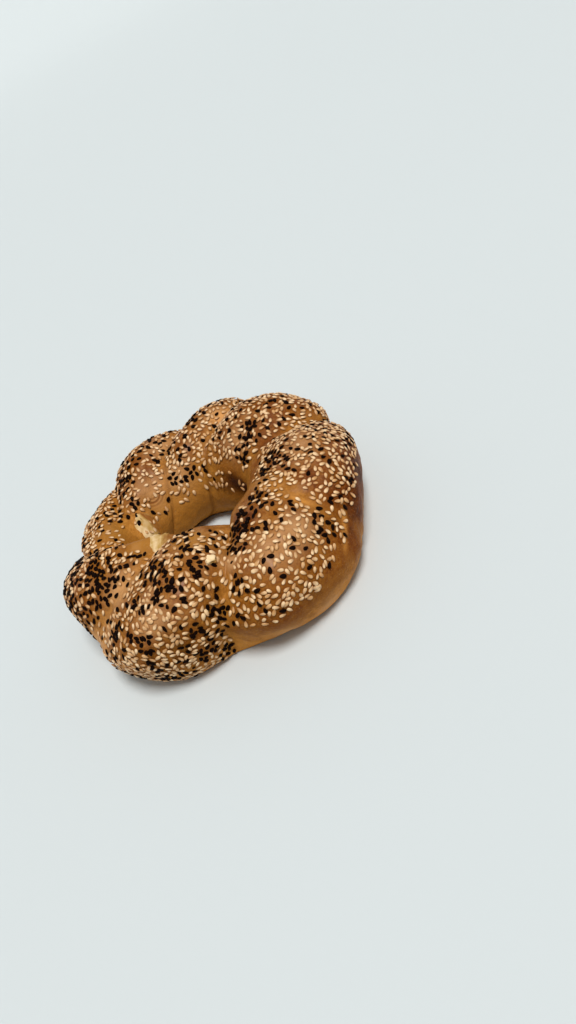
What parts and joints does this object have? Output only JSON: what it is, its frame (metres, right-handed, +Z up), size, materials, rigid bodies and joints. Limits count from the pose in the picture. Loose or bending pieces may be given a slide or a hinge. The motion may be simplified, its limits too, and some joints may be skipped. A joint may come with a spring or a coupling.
{
  "type": "knot roll",
  "caption": "Baked bread roll of twisted dough strands closed into a ring, with a glossy golden crust, deep creases between the lobes and a scatter of pale and dark sesame seeds.",
  "frame": {"origin": "middle of the roll's outline, on the surface that it lies on", "axes": "+Z up through the hole; -Y towards the long front lobe"},
  "size_m": [0.1428, 0.1518, 0.047],
  "materials": {
    "crust": "satin egg-washed crust, golden brown",
    "pale_seed": "toasted hulled sesame, soft sheen",
    "dark_seed": "black sesame, soft sheen"
  },
  "bodies": {
    "root": {"knot_roll": "crust"}
  },
  "joints": []
}
